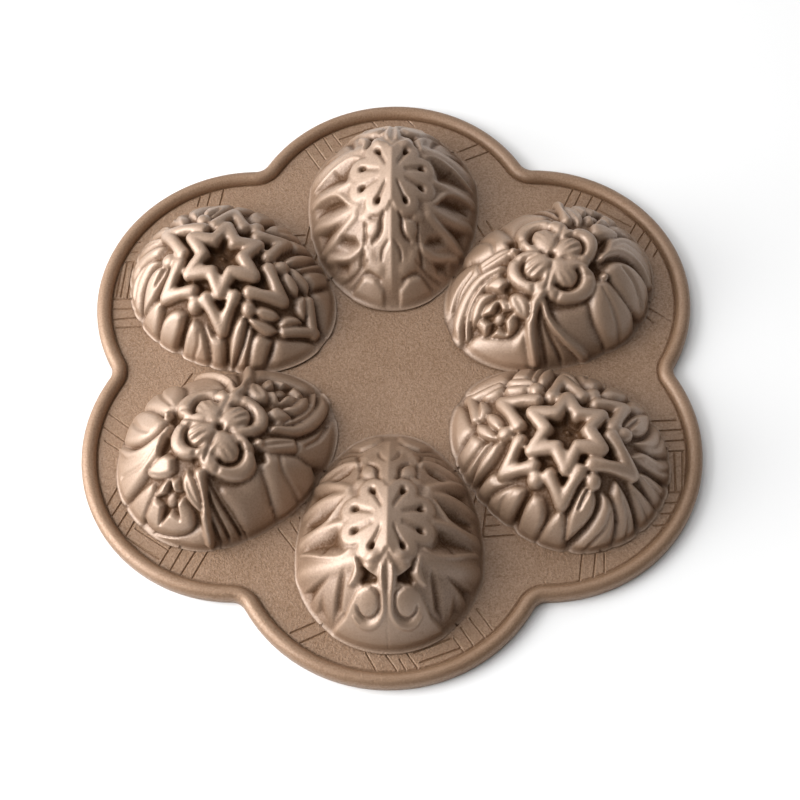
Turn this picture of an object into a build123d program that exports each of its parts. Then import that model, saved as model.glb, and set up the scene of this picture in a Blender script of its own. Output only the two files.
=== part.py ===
"""A cakelet pan with six egg-shaped moulds, lying mouth down.

The pan is a cast plate in the outline of a six-petalled flower. A rounded bead
runs round its edge, and each petal carries one egg cup with its pointed end
towards the middle. The plate's flat mouth side lies at z = 0 and the cups rise
from it. Three ornaments share the six cups, each on an opposite pair.
"""
import os
from math import cos, hypot, radians, sin

from build123d import *

os.makedirs("parts", exist_ok=True)

# Egg cup seen from above, in its own frame: +X points to the blunt end
egg_blunt_length = 35.6
egg_pointed_length = 52.0
egg_half_width = 34.8
egg_wall = 3.4

# How its ridge falls towards each end: 2 is a parabola, and more is flatter on top
egg_blunt_bow = 2.4
egg_pointed_bow = 2.25

# Facets of its skin: sides at the foot, fewer at each level above it
egg_sides = 24
egg_sides_lost = 4
egg_levels = 4
crown_tilt = 80.0

# Height of each ornament's plain skin, and how full its cross section is: 2 is an ellipse
rosette_height = 34.4
rosette_fullness = 1.55
star_height = 30.6
star_fullness = 1.6
blossom_height = 30.4
blossom_fullness = 1.7

# Ring of cups: half the strip of plate between two neighbours, and steps outwards
cup_count = 6
half_strip = 0.7
star_outset = 2.0
star_turn = -3.0
blossom_outset = 0.5

# Plate: one round petal round each cup
petal_radius = 63.0
petal_margin = 8.4
first_petal_bearing = 30.0
notch_radius = 6.0
deck_thickness = 3.0

# Bead round the edge
bead_width = 6.0
bead_height = 5.8
bead_chamfer = 1.8

# How far ornament stands out of the skin, or goes into it
lift = 1.6
sink = 2.0
foot_margin = 1.0
boss_sides = 8

# Rosette: a crest, eight petals with keyhole pits, scrolls, a bib, noses and side pockets
crest_from = -44.0
crest_to = 15.0
crest_half_width = 4.0
crest_lift = 1.0
crest_drop = 2.6
crest_stations = 6
rosette_centre = -5.5
rosette_petals = 8
petal_ring_radius = 12.8
petal_tip_radius = 4.8
pit_ring_radius = 13.6
pit_radius = 1.9
pit_tail_radius = 5.0
scroll_x = 23.8
scroll_y = 6.8
scroll_radius = 4.4
nose_x = -43.0
nose_y = 7.0
nose_radius = 5.0
bib = [
    (19.4, 8.6), (24.5, 13.0), (26.2, 16.0), (28.4, 21.0),
    (33.0, 14.0), (36.0, 0.0), (28.6, 0.0), (28.6, 8.0),
]
scroll_pit = [(14.2, 8.0), (18.2, 9.2), (17.9, 4.4)]
side_pockets = [
    [(5.3, 17.5), (-1.8, 30.5), (-3.8, 18.2)],
    [(-8.0, 18.5), (-9.6, 31.5), (-15.0, 19.0)],
    [(-21.0, 20.5), (-19.0, 29.0), (-26.0, 28.0)],
    [(-21.5, 15.3), (-30.5, 21.5), (-36.5, 21.0), (-32.5, 16.6)],
    [(12.0, 14.7), (24.2, 17.0), (26.0, 21.0), (20.5, 19.8)],
    [(15.0, 21.8), (18.6, 27.0), (13.6, 30.0)],
]

# Star: a six-pointed band round a hollow, a button, chevrons with pits, and flutes
star_centre = -5.2
star_points = 6
star_tip_radius = 17.2
star_notch_radius = 9.4
star_tip_band = 6.6
star_notch_band = 4.0
chevron_reach = 28.6
chevron_arm_radius = 17.0
chevron_arm_turn = 27.0
chevron_tip_band = 5.6
chevron_arm_band = 1.0
chevron_inner_turn = 15.0
chevron_mouth_gap = 0.8
flute_bearings = (52, 78, 104, 130)
flute_half_turn = 4.5
flute_inner_share = 0.80
flute_outer_share = 1.10

# Blossom: four hooded buds, two small flowers, and leaves that stand out or lie deeper
blossom_centre = -7.0
bud_offset = 8.4
bud_radius = 4.3
hood_inner_radius = 5.8
hood_outer_radius = 8.6
hood_opening = 55.0
hood_steps = 6
small_flowers = [(-35.5, -7.5), (20.5, 13.0)]
small_flower_radius = 5.2
raised_leaves = [
    [(-50.0, -1.0), (-45.0, 6.5), (-38.0, 11.5), (-30.0, 12.5), (-25.0, 9.5), (-40.0, 5.5)],
    [(11.0, -8.0), (17.5, -5.4), (25.0, -7.0), (28.0, -14.0), (26.5, -20.0), (22.0, -11.5)],
    [(-27.5, -3.5), (-24.0, -7.5), (-27.0, -12.5), (-30.0, -8.0)],
    [(12.0, 8.5), (15.0, 12.5), (12.0, 19.0), (9.8, 13.5)],
    [(7.2, 20.0), (10.0, 19.0), (13.5, 30.0)],
]
sunk_leaves = [
    [(5.0, 14.5), (4.0, 31.0), (-1.0, 32.0)],
    [(-15.0, 20.0), (-13.0, 31.0), (-19.0, 30.0)],
    [(-25.0, 13.5), (-30.0, 24.0), (-35.0, 18.0)],
    [(-24.0, -16.0), (-27.0, -27.0), (-32.5, -22.0)],
    [(-18.0, -17.0), (-14.0, -30.5), (-20.5, -28.0)],
    [(3.0, -20.0), (4.0, -32.5), (-1.5, -32.0)],
]

# What follows from the sizes above
half_pitch = radians(180 / cup_count)
egg_tangent = hypot(egg_pointed_length * sin(half_pitch), egg_half_width * cos(half_pitch))
ring_distance = (half_strip + egg_tangent) / sin(half_pitch)
petal_distance = ring_distance + egg_blunt_length + petal_margin + bead_width - petal_radius
cutter_height = 2 * rosette_height
cutter_start = deck_thickness + foot_margin


def egg_end(x):
    """Length and bow of the end of the egg on that side of its widest place."""
    return (egg_blunt_length, egg_blunt_bow) if x > 0 else (egg_pointed_length, egg_pointed_bow)


def egg_point(bearing, grow=0.0, climb=0.0, fullness=1.0):
    """Point `grow` outside the egg, at a share of its height, along a bearing in degrees."""
    turn = radians(bearing)
    length, bow = egg_end(cos(turn))
    along = (1 - climb) ** (1 / bow)
    across = (1 - climb ** fullness) ** (1 / fullness)
    return (length + grow) * cos(turn) * along, (egg_half_width + grow) * sin(turn) * across


def egg_ring(sides, z=0.0, grow=0.0, climb=0.0, fullness=1.0):
    """Corners of one level ring of the egg."""
    return [(*egg_point(360 * side / sides, grow, climb, fullness), z) for side in range(sides)]


def egg_corners(height, fullness, grow, base):
    """Corners of a half egg whose skin lies `grow` outside the plain one, widest at `base`.

    Each ring above the widest has fewer corners, so the facets stay about as wide.
    """
    corners = egg_ring(egg_sides, 0.0, grow) if base > 0 else []
    crown = sin(radians(crown_tilt))
    for level in range(egg_levels + 1):
        climb = sin(radians(crown_tilt * level / egg_levels))
        z = base + (height - base + grow) * climb / crown
        corners += egg_ring(egg_sides - egg_sides_lost * level, z, grow, climb, fullness)
    return corners


def outline(corners):
    """Flat face with the given corners."""
    with BuildSketch() as flat:
        with BuildLine():
            Polyline(*corners, close=True)
        make_face()
    return flat.sketch


def polar_point(x, y, radius, bearing):
    """Point at a radius and bearing from (x, y)."""
    return x + radius * cos(radians(bearing)), y + radius * sin(radians(bearing))


def disc(x, y, radius, first=180 / boss_sides):
    """Regular polygon that stands for a round boss."""
    return outline([polar_point(x, y, radius, first + 360 * side / boss_sides) for side in range(boss_sides)])


def wedge(bearing, half_turn, inner, outer):
    """Slim triangle that widens from the crown down the side, between two shares of the outline."""
    return outline([
        tuple(share * size for size in egg_point(turn))
        for turn, share in ((bearing, inner), (bearing - half_turn, outer), (bearing + half_turn, outer))
    ])


def both_sides(corners):
    """Outlines of the corners and of their mirror image across the egg's long axis."""
    return [outline([(x, side * y) for x, y in corners]) for side in (1, -1)]


def raised(flats, height, fullness, amount):
    """Ornament standing `amount` out of the egg's skin over each flat outline."""
    with BuildPart() as ornament:
        with BuildSketch(Plane.XY.offset(deck_thickness)):
            for flat in flats:
                add(flat)
        extrude(amount=cutter_height)
        ConvexPolyhedron(egg_corners(height, fullness, amount, deck_thickness), mode=Mode.INTERSECT)
    return ornament.part


def sunk(flats, height, fullness, amount):
    """Cutter that goes `amount` into the egg's skin below each flat outline."""
    with BuildPart() as cutter:
        with BuildSketch(Plane.XY.offset(cutter_start)):
            for flat in flats:
                add(flat)
        extrude(amount=cutter_height)
        ConvexPolyhedron(egg_corners(height, fullness, -amount, deck_thickness), mode=Mode.SUBTRACT)
    return cutter.part


def egg_cup(height, fullness, raises, cuts, extra=None):
    """Egg cup with its raised and sunk outlines, open at the bottom."""
    with BuildPart() as cup:
        ConvexPolyhedron(egg_corners(height, fullness, 0.0, deck_thickness))
        if extra:
            add(extra)
        for flats in raises:
            add(raised(flats, height, fullness, lift))
        for flats in cuts:
            add(sunk(flats, height, fullness, sink), mode=Mode.SUBTRACT)
        ConvexPolyhedron(egg_corners(height, fullness, -egg_wall, 0.0), mode=Mode.SUBTRACT)
    return cup.part


# Rosette cup
crest_points = []
for station in range(crest_stations + 1):
    x = crest_from + (crest_to - crest_from) * station / crest_stations
    length, bow = egg_end(x)
    top = deck_thickness + (rosette_height - deck_thickness) * (1 - abs(x / length) ** bow)
    crest_points.append((x, 0.0, top + crest_lift))
    for side in (1, -1):
        crest_points.append((x, side * crest_half_width, top - crest_drop))
with BuildPart() as crest:
    ConvexPolyhedron(crest_points)

rosette_petals_flat = [disc(rosette_centre, 0.0, petal_ring_radius)]
rosette_pits = []
for petal in range(rosette_petals):
    bearing = 360 * (petal + 0.5) / rosette_petals
    x, y = polar_point(rosette_centre, 0.0, petal_ring_radius, bearing)
    rosette_petals_flat.append(disc(x, y, petal_tip_radius, first=bearing))
    x, y = polar_point(rosette_centre, 0.0, pit_ring_radius, bearing)
    rosette_pits.append(outline([
        polar_point(rosette_centre, 0.0, pit_tail_radius, bearing),
        *[polar_point(x, y, pit_radius, bearing + turn) for turn in (-90, 0, 90)],
    ]))
scrolls_and_noses = [
    disc(x, side * y, radius)
    for x, y, radius in ((scroll_x, scroll_y, scroll_radius), (nose_x, nose_y, nose_radius))
    for side in (1, -1)
]
rosette_cup = egg_cup(
    rosette_height, rosette_fullness,
    [rosette_petals_flat, scrolls_and_noses, both_sides(bib)],
    [rosette_pits, both_sides(scroll_pit), [flat for pocket in side_pockets for flat in both_sides(pocket)]],
    extra=crest.part,
)

# Star cup
star_corners = []
hollow_corners = []
for corner in range(2 * star_points):
    bearing = 180 * corner / star_points
    at_tip = corner % 2 == 0
    outer = star_tip_radius if at_tip else star_notch_radius
    band = star_tip_band if at_tip else star_notch_band
    star_corners.append(polar_point(star_centre, 0.0, outer, bearing))
    hollow_corners.append(polar_point(star_centre, 0.0, outer - band, bearing))
chevrons = []
chevron_pits = []
for point in range(star_points):
    bearing = 360 * point / star_points
    tip, inner_tip, pit_mouth = [
        polar_point(star_centre, 0.0, radius, bearing)
        for radius in (chevron_reach, chevron_reach - chevron_tip_band, star_tip_radius + chevron_mouth_gap)
    ]
    arms = [polar_point(star_centre, 0.0, chevron_arm_radius, bearing + side * chevron_arm_turn)
            for side in (1, -1)]
    inner_arms = [polar_point(star_centre, 0.0, chevron_arm_radius + chevron_arm_band,
                              bearing + side * chevron_inner_turn) for side in (1, -1)]
    chevrons.append(outline([tip, arms[0], inner_arms[0], inner_tip, inner_arms[1], arms[1]]))
    chevron_pits.append(outline([inner_tip, inner_arms[0], pit_mouth, inner_arms[1]]))
flutes = [wedge(side * bearing, flute_half_turn, flute_inner_share, flute_outer_share)
          for side in (1, -1) for bearing in flute_bearings]
star_cup = egg_cup(
    star_height, star_fullness,
    [[outline(star_corners)], chevrons],
    [[outline(hollow_corners)], chevron_pits, flutes],
)

# Blossom cup
buds = []
hoods = []
for quarter in range(4):
    bearing = 90 * quarter
    x, y = polar_point(blossom_centre, 0.0, bud_offset, bearing)
    buds.append(disc(x, y, bud_radius))
    half_sweep = 180 - hood_opening
    hoods.append(outline([
        polar_point(x, y, radius, bearing + direction * half_sweep * (2 * step / hood_steps - 1))
        for radius, direction in ((hood_outer_radius, 1), (hood_inner_radius, -1))
        for step in range(hood_steps + 1)
    ]))
flowers = [disc(x, y, small_flower_radius) for x, y in small_flowers]
blossom_cup = egg_cup(
    blossom_height, blossom_fullness,
    [buds, hoods, flowers + [outline(leaf) for leaf in raised_leaves]],
    [[outline(leaf) for leaf in sunk_leaves]],
)

# The plate's outline, before and inside the bead
with BuildSketch() as flower:
    with PolarLocations(petal_distance, cup_count, start_angle=first_petal_bearing):
        Circle(petal_radius)
    Circle(petal_distance)
    notches = flower.vertices().sort_by(SortBy.DISTANCE)[-cup_count:]
    fillet(notches, radius=notch_radius)
with BuildSketch() as deck_outline:
    add(flower.sketch)
    offset(amount=-bead_width, kind=Kind.ARC)

with BuildPart() as rim_bead:
    add(flower.sketch)
    extrude(amount=bead_height)
    add(deck_outline.sketch)
    extrude(amount=bead_height, mode=Mode.SUBTRACT)
    chamfer(rim_bead.edges().group_by(Axis.Z)[-1], length=bead_chamfer)
rim_bead.part.label = "rim_bead"
export_step(rim_bead.part, "parts/rim_bead.step")

# The cups: name, ornament, bearing, step outwards and turn
cups = (
    ("rosette_cup_rear", rosette_cup, 90, 0.0, 0.0),
    ("rosette_cup_front", rosette_cup, 270, 0.0, 0.0),
    ("star_cup_rear_left", star_cup, 150, star_outset, star_turn),
    ("star_cup_front_right", star_cup, 330, star_outset, star_turn),
    ("blossom_cup_rear_right", blossom_cup, 30, blossom_outset, 0.0),
    ("blossom_cup_front_left", blossom_cup, 210, blossom_outset, 0.0),
)
places = {
    name: Location((*polar_point(0.0, 0.0, ring_distance + outset, bearing), 0), (0, 0, bearing + turn))
    for name, ornament, bearing, outset, turn in cups
}

with BuildPart() as deck_plate:
    add(deck_outline.sketch)
    extrude(amount=deck_thickness)
    for place in places.values():
        with BuildSketch(Plane(place)):
            add(outline([(x, y) for x, y, z in egg_ring(egg_sides)]))
        extrude(amount=deck_thickness, mode=Mode.SUBTRACT)
deck_plate.part.label = "deck_plate"
export_step(deck_plate.part, "parts/deck_plate.step")

for name, ornament, bearing, outset, turn in cups:
    with BuildPart() as cup:
        with Locations(places[name]):
            add(ornament)
    cup.part.label = name
    export_step(cup.part, f"parts/{name}.step")
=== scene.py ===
# %% [markdown]
# # A cakelet pan, lying mouth down
# The pan is one casting: a flat deck in the outline of a six-petalled flower, a rounded bead
# round its edge, and six egg cups whose outsides show the ornament that a cake takes from their
# insides. Sizes are written in millimetres, as on the drawing of a mould, and turned into metres
# only where a mesh is made. The packed model is loaded first, because every piece is fitted to it.

import bpy
import numpy as np
from mathutils import Matrix, Vector
from mathutils.geometry import delaunay_2d_cdt


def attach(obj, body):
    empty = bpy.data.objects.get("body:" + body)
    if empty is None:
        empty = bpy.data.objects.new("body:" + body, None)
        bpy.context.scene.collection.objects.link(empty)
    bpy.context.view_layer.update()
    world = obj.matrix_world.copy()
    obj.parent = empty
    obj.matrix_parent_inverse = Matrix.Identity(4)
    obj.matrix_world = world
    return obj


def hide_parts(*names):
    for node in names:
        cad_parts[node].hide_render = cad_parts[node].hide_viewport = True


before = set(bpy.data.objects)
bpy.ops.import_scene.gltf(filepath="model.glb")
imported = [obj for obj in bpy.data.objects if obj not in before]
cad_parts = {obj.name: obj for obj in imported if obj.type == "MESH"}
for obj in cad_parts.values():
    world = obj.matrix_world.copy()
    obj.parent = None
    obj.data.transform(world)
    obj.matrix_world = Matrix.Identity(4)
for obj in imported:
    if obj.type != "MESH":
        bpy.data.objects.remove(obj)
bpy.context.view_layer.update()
print("CAD nodes:", ", ".join(sorted(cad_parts)))

# %% [markdown]
# ## The camera
# The picture was taken from in front and well above, with a long lens, so the near petals are
# only a little larger than the far ones. Lens, distance and lean were worked out from the six
# notches between the petals, whose places on the real pan are known. A small shift puts the
# middle of the pan where it is in the picture.

# %% Camera
MM = 0.001
camera_height = np.radians(62.10)
camera_side = np.radians(3.27)
camera_lean = np.radians(-3.04)
camera_distance = 691.0
aim_height = 2.7


def shown(name, data):
    """Object with that data in the scene."""
    made = bpy.data.objects.new(name, data)
    bpy.context.scene.collection.objects.link(made)
    return made


lens = bpy.data.cameras.new("camera")
lens.sensor_fit = "HORIZONTAL"
lens.sensor_width = 36.0
lens.lens = 77.32
lens.shift_x = 0.0105
lens.shift_y = -0.0342
lens.clip_start = 0.01
camera = shown("camera", lens)
bpy.context.scene.camera = camera

backwards = Vector((np.sin(camera_side) * np.cos(camera_height),
                    -np.cos(camera_side) * np.cos(camera_height),
                    np.sin(camera_height)))
level_right = Vector((np.cos(camera_side), np.sin(camera_side), 0.0))
level_up = backwards.cross(level_right)
right = np.cos(camera_lean) * level_right + np.sin(camera_lean) * level_up
up = np.cos(camera_lean) * level_up - np.sin(camera_lean) * level_right
turn = Matrix((right, up, backwards)).transposed().to_4x4()
place = Vector((0.0, 0.0, aim_height * MM)) + backwards * camera_distance * MM
camera.matrix_world = Matrix.Translation(place) @ turn
print("camera stands at", [round(side, 3) for side in place])

# %% [markdown]
# ## Shader sums written as Python
# A finish is a graph of nodes, but it reads better as sums. The class below holds one output of
# a node and lets Python's own operators add the Math nodes, so `1 - mask` is a node too. A recipe
# is one material: every other node is made by its one method, settings first, sockets after.

# %% Nodes as Python values
class Mask:
    """One output of a node, on which sums add Math nodes."""

    def __init__(self, recipe, socket):
        self.recipe = recipe
        self.socket = socket

    def sum(self, operation, first, second):
        return self.recipe.node("ShaderNodeMath", {"operation": operation}, {0: first, 1: second})

    def __add__(self, other):
        return self.sum("ADD", self, other)

    def __radd__(self, other):
        return self.sum("ADD", other, self)

    def __sub__(self, other):
        return self.sum("SUBTRACT", self, other)

    def __rsub__(self, other):
        return self.sum("SUBTRACT", other, self)

    def __mul__(self, other):
        return self.sum("MULTIPLY", self, other)

    def __rmul__(self, other):
        return self.sum("MULTIPLY", other, self)


class Recipe:
    """The nodes of one material, with its main shader at hand."""

    def __init__(self, name):
        self.material = bpy.data.materials.new(name)
        self.material.use_nodes = True
        self.tree = self.material.node_tree
        self.shader = self.tree.nodes["Principled BSDF"]

    def node(self, kind, settings, sockets, output=0):
        """Adds a node: first its settings, then the values or links of its sockets."""
        made = self.tree.nodes.new(kind)
        for name, value in settings.items():
            setattr(made, name, value)
        self.feed(made, sockets)
        return Mask(self, made.outputs[output])

    def feed(self, node, sockets):
        """Sets sockets of a node to values, or links them to other nodes."""
        for name, value in sockets.items():
            if isinstance(value, Mask):
                self.tree.links.new(value.socket, node.inputs[name])
            else:
                node.inputs[name].default_value = value

    def noise(self, per_metre, detail=2.0, roughness=0.5):
        """Cloudy noise fixed to the object, between about 0.2 and 0.8."""
        where = self.node("ShaderNodeTexCoord", {}, {}, "Object")
        return self.node("ShaderNodeTexNoise", {}, {"Vector": where, "Scale": per_metre,
                                                    "Detail": detail, "Roughness": roughness})

    def between(self, share, first, second):
        """Colour that goes from the first to the second as the share goes from 0 to 1."""
        return self.node("ShaderNodeMix", {"data_type": "RGBA"}, {0: share, 6: first, 7: second}, 2)

    def slope(self, mask, low, high):
        """Share that climbs smoothly from 0 at low to 1 at high."""
        return self.node("ShaderNodeMapRange", {"interpolation_type": "SMOOTHSTEP"},
                         {"Value": mask, "From Min": low, "From Max": high})


print("sums on nodes:", ", ".join(name for name in vars(Mask) if name.startswith("__r")))

# %% [markdown]
# ## The finish
# Inside and out the aluminium carries a baked non-stick coat the colour of old bronze. It is
# made as a brown, partly metallic ground under a rough clear coat, so it gleams broadly and its
# lights are soft and nearly neutral. The grain of the casting shows most on the deck. On the
# cups the raised work is worn slightly lighter and smoother, and the hollows are painted dark,
# nearly black, as painted shade. Each corner of a cup carries a number for that, the height of
# its carving with ridges and creases sharpened, and the finish follows it.

# %% Bronze recipes
# The dark cup colour is painted shade, put into hollows and creases; the light one is the worn
# raised work
HIGH_BRONZE = (0.328, 0.210, 0.134, 1.0)
HOLLOW_PAINTED_SHADE = (0.080, 0.033, 0.009, 1.0)
DECK_BRONZE = (0.310, 0.185, 0.106, 1.0)
DECK_SHADE = (0.205, 0.117, 0.063, 1.0)
clouds_per_metre = 28.0
flakes_per_metre = 1200.0
flake_strength = 0.8
cloud_wear = 0.3
# Carving heights at which the painted shade is darkest and the worn raised work lightest
darkest_carving = -2.9
lightest_carving = 1.9
metal_share = 0.45
clear_roughness = 0.46
clear_index = 1.85


def bronze(name, low, high, grain, smooth, rough, gloss, speckle, carved=False):
    """Cloudy colour and fine grain; on carved pieces worn raised work and painted shade in hollows.
    """
    recipe = Recipe(name)
    clouds = recipe.noise(clouds_per_metre, 3.0)
    flakes = recipe.noise(flakes_per_metre, 3.0, 0.7)
    if carved:
        carving = recipe.node("ShaderNodeAttribute", {"attribute_name": "carving"}, {}, "Fac")
        # The colour follows the carving height: painted shade in the hollows, wear on the raised
        # work
        tone_and_painted_shade = recipe.slope(carving, darkest_carving, lightest_carving) + (clouds - 0.5) * cloud_wear
    else:
        tone_and_painted_shade = 0.2 + clouds * 0.6
    tone_and_painted_shade = tone_and_painted_shade + (flakes - 0.5) * speckle
    recipe.feed(recipe.shader, {
        "Base Color": recipe.between(tone_and_painted_shade, low, high),
        "Roughness": smooth + (1.0 - tone_and_painted_shade) * (rough - smooth),
        "Metallic": metal_share,
        "Coat Weight": tone_and_painted_shade * gloss,
        "Coat Roughness": clear_roughness,
        "Coat IOR": clear_index,
        "Normal": recipe.node("ShaderNodeBump", {}, {"Strength": flake_strength, "Height": flakes,
                                                     "Distance": grain * MM}, "Normal"),
    })
    return recipe.material


cup_coat = bronze("bronze_coat_cups", HOLLOW_PAINTED_SHADE, HIGH_BRONZE, grain=0.25, smooth=0.52, rough=0.64,
                  gloss=0.8, speckle=0.9, carved=True)
deck_coat = bronze("bronze_coat_deck", DECK_SHADE, DECK_BRONZE, grain=0.60, smooth=0.50, rough=0.60,
                   gloss=0.7, speckle=2.4)
rim_coat = bronze("bronze_coat_rim", DECK_SHADE, DECK_BRONZE, grain=0.30, smooth=0.46, rough=0.54,
                  gloss=0.7, speckle=1.6)
print("finishes:", cup_coat.name, deck_coat.name, rim_coat.name)

# %% [markdown]
# ## From numbers to a piece
# Every piece of the pan is made from lists of corners and faces. One helper turns millimetres
# into metres, makes the object, hides the CAD node it stands for, gives it its finish,
# and lets it ride on the pan's one body.

# %% Making a piece
def piece(name, corners, faces, smooth, coat, carving=None):
    """Mesh object in place of the CAD node of that name."""
    mesh = bpy.data.meshes.new(name)
    mesh.from_pydata((np.asarray(corners) * MM).tolist(), [], faces)
    mesh.polygons.foreach_set("use_smooth", smooth)
    if carving is not None:
        mesh.attributes.new("carving", "FLOAT", "POINT").data.foreach_set("value", carving)
    mesh.materials.append(coat)
    mesh.update()
    made = shown(name + "_cast", mesh)
    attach(made, "root")
    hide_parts(name)
    print(made.name, len(corners), "corners", len(faces), "faces")
    return made


# %% [markdown]
# ## The flower outline
# Six round petals, one behind each cup, meet in small rounded notches. The outline is therefore
# twelve arcs, and a line that runs a little inside it has the same centres: the petals shrink
# and the notch rounds grow. That makes it easy to sweep the bead round the edge.

# %% Outline of the flower, and lines inside it
CUP_BEARINGS = np.arange(30.0, 390.0, 60.0)
petal_radius = 62.97
petal_distance = 68.006
notch_radius = 6.0
petal_steps = 54
notch_steps = 10

half_gap = np.sin(np.radians(30.0)) * petal_distance
notch_reach = np.sqrt((petal_radius + notch_radius) ** 2 - half_gap ** 2)
notch_distance = np.cos(np.radians(30.0)) * petal_distance + notch_reach
notch_lean = np.degrees(np.arctan2(half_gap, notch_reach))

arcs = []
for bearing in CUP_BEARINGS:
    arcs += [(petal_distance, bearing, petal_radius, -1.0, turned)
             for turned in np.linspace(bearing - 30.0 - notch_lean, bearing + 30.0 + notch_lean,
                                       petal_steps)]
    arcs += [(notch_distance, bearing + 30.0, notch_radius, 1.0, turned)
             for turned in np.linspace(bearing + 210.0 + notch_lean, bearing + 210.0 - notch_lean,
                                       notch_steps)[1:-1]]
centre_distance, centre_bearing, arc_radius, grows, arc_turn = np.array(arcs).T


def around(x, y, radius, bearing):
    """Point at that distance and bearing from another."""
    return x + radius * np.cos(np.radians(bearing)), y + radius * np.sin(np.radians(bearing))


def flower(inset):
    """Points of the line that runs that far inside the outline."""
    centre = around(0.0, 0.0, centre_distance, centre_bearing)
    return np.column_stack(around(*centre, arc_radius + grows * inset, arc_turn))


outline = flower(0.0)
print("flower is", np.round(np.ptp(outline, axis=0), 1), "mm")

# %% [markdown]
# ## The bead round the edge
# The bead stiffens the pan and is what a cook takes hold of. It is a half-round rib, whose inner
# foot dips into a narrow crease before the deck begins. A ring of corners is laid for each point
# of its section, and neighbouring rings are joined.

# %% Rim bead
bead_width = 6.0
bead_top = 5.8
crease_height = 2.5
shoulder = 2.9

section = [(0.35, 0.0), (0.0, 0.4)]
for step in np.linspace(180.0, 0.0, 13):
    section.append((bead_width / 2 + bead_width / 2 * np.cos(np.radians(step)),
                    shoulder + (bead_top - shoulder) * np.sin(np.radians(step))))
section += [(bead_width, crease_height), (bead_width, 0.0)]


def band(upper, lower):
    """Faces between two closed edges with the same number of corners."""
    return np.column_stack([upper, np.roll(upper, -1), np.roll(lower, -1), lower]).tolist()


corners = np.vstack([np.column_stack([flower(inset), np.full(len(outline), height)])
                     for inset, height in section])
rings = np.arange(len(corners)).reshape(len(section), len(outline))
faces = []
for upper, lower in zip(rings, np.roll(rings, -1, axis=0)):
    faces += band(upper, lower)
smooth = [rings[1, 0] <= face[0] < rings[-1, 0] for face in faces]
piece("rim_bead", corners, faces, smooth, rim_coat)

# %% [markdown]
# ## The egg
# A cup is half an egg. Seen from above it is blunt at one end and pointed at the other, and each
# end bows out in its own way. Across, the egg may be fuller or leaner: the rosette cup is lean,
# so it has a ridge along its back. A square sheet of corners is wrapped over the half egg, which
# keeps them about evenly spaced and leaves no pinched pole at the crown.

# %% Half egg
blunt_length = 35.6
pointed_length = 52.0
half_width = 34.8
blunt_bow = 2.4
pointed_bow = 2.25
wall = 3.4
deck_top = 3.0


def sheet(count):
    """Share of the way out and bearing of each corner of a square sheet laid over a disc."""
    across, along = np.meshgrid(np.linspace(-1, 1, count + 1), np.linspace(-1, 1, count + 1))
    x = along * np.sqrt(1 - across ** 2 / 2)
    y = across * np.sqrt(1 - along ** 2 / 2)
    return np.minimum(np.hypot(x, y), 1.0), np.arctan2(y, x)


def half_egg(count, height, fullness, grow, base):
    """Corners of the skin, `grow` outside the plain one and widest at `base`."""
    out, bearing = sheet(count)
    climb = np.cos(out * np.pi / 2)
    blunt = np.cos(bearing) > 0
    length = np.where(blunt, blunt_length, pointed_length) + grow
    x = length * np.cos(bearing) * (1 - climb) ** (1 / np.where(blunt, blunt_bow, pointed_bow))
    y = (half_width + grow) * np.sin(bearing) * (1 - climb ** fullness) ** (1 / fullness)
    return np.stack([x, y, base + (height + grow - base) * climb], axis=-1)


def outward(skin):
    """Unit directions square to a sheet of corners."""
    down = np.gradient(skin, axis=0)
    over = np.gradient(skin, axis=1)
    square = np.cross(down, over)
    return square / np.maximum(np.linalg.norm(square, axis=-1, keepdims=True), 1e-9)


def outer_edge(count):
    """Numbers of the corners round the edge of a square sheet, in order."""
    side = count + 1
    number = np.arange(side * side).reshape(side, side)
    return np.concatenate([number[:-1, 0], number[-1, :-1], number[:0:-1, -1], number[0, :0:-1]])


print("edge of a sheet of 4:", outer_edge(4))

# %% [markdown]
# ## Carving tools
# The ornament is modelled as in wax, stroke by stroke, on a plan of the egg. Every tool changes
# one number for each corner, the height of the carving above the plain skin, so strokes may lie
# over each other and the mesh never tears. The points of a line may carry a third number, the
# half width of the stroke there. Where the two halves of an ornament mirror each other, the
# strokes are made twice, and the plan is turned over in between.

# %% Smooth lines and smooth steps
def flowing(points, steps=5):
    """A smooth line through the points. What else the points carry flows along."""
    given = np.array(points, float)
    ends = np.vstack([2 * given[0] - given[1], given, 2 * given[-1] - given[-2]])
    line = []
    for before, start, end, after in zip(ends, ends[1:], ends[2:], ends[3:]):
        for t in np.arange(steps) / steps:
            line.append(0.5 * (2 * start + (end - before) * t
                               + (2 * before - 5 * start + 4 * end - after) * t ** 2
                               + (3 * start - before - 3 * end + after) * t ** 3))
    return np.array(line + [given[-1]])


def eased(share):
    """Goes smoothly from 0 to 1."""
    share = np.clip(share, 0.0, 1.0)
    return share * share * (3 - 2 * share)


def dome(share):
    """A round profile, 1 in the middle and 0 where the share of the way out reaches 1."""
    return np.sqrt(1 - np.minimum(share, 1.0) ** 2)


print("a quarter of the way, eased and as a dome:", eased(0.25), np.round(dome(0.25), 3))


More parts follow.
